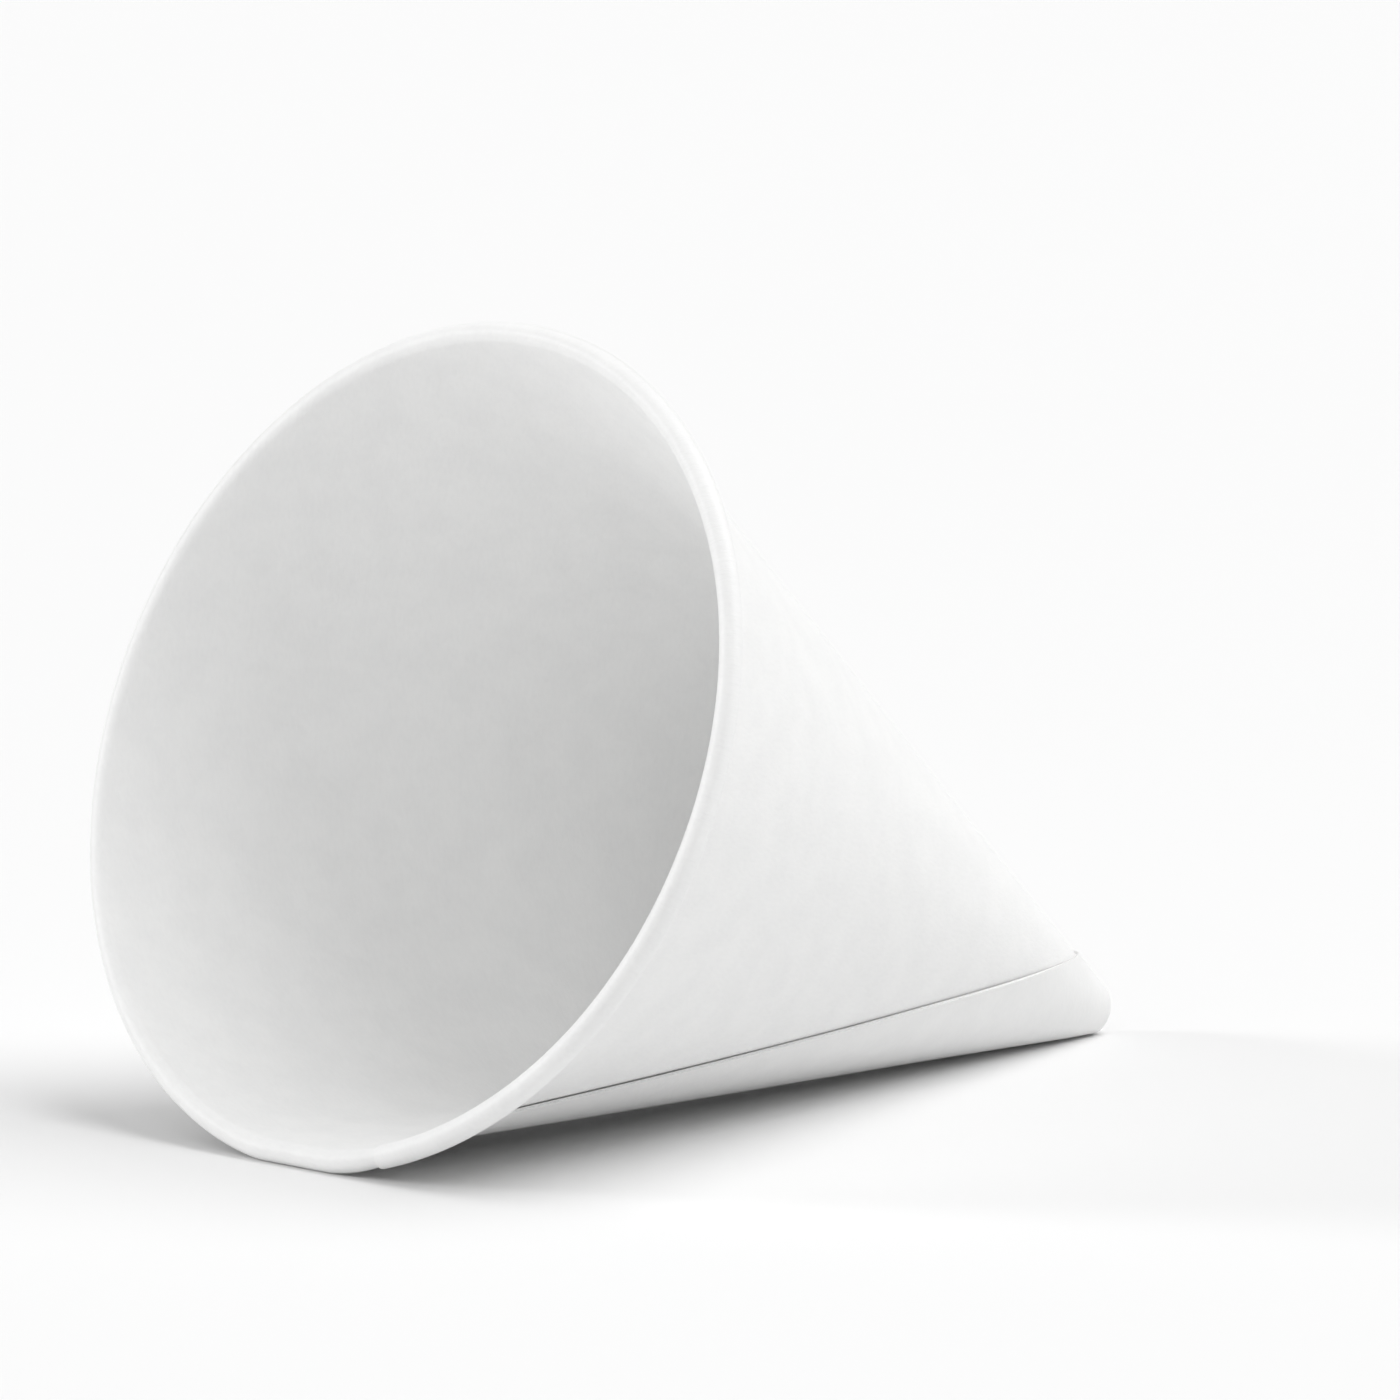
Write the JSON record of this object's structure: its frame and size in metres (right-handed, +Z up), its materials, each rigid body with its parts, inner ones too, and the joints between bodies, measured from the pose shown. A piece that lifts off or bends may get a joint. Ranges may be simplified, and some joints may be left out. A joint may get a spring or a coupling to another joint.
{
  "type": "cone paper cup",
  "caption": "White paper water cup wound into a cone, with a rolled rim and a glued overlap, lying on its side with its mouth open.",
  "frame": {"origin": "middle of the cup's footprint, on the floor it lies on", "axes": "+Z up; the tip points to +Y and the open mouth faces -Y and slightly up"},
  "size_m": [0.08, 0.1028, 0.074],
  "materials": {
    "cup_paper": "smooth uncoated white cup stock, matt"
  },
  "bodies": {
    "root": {"cone_cup": "cup_paper"}
  },
  "joints": []
}
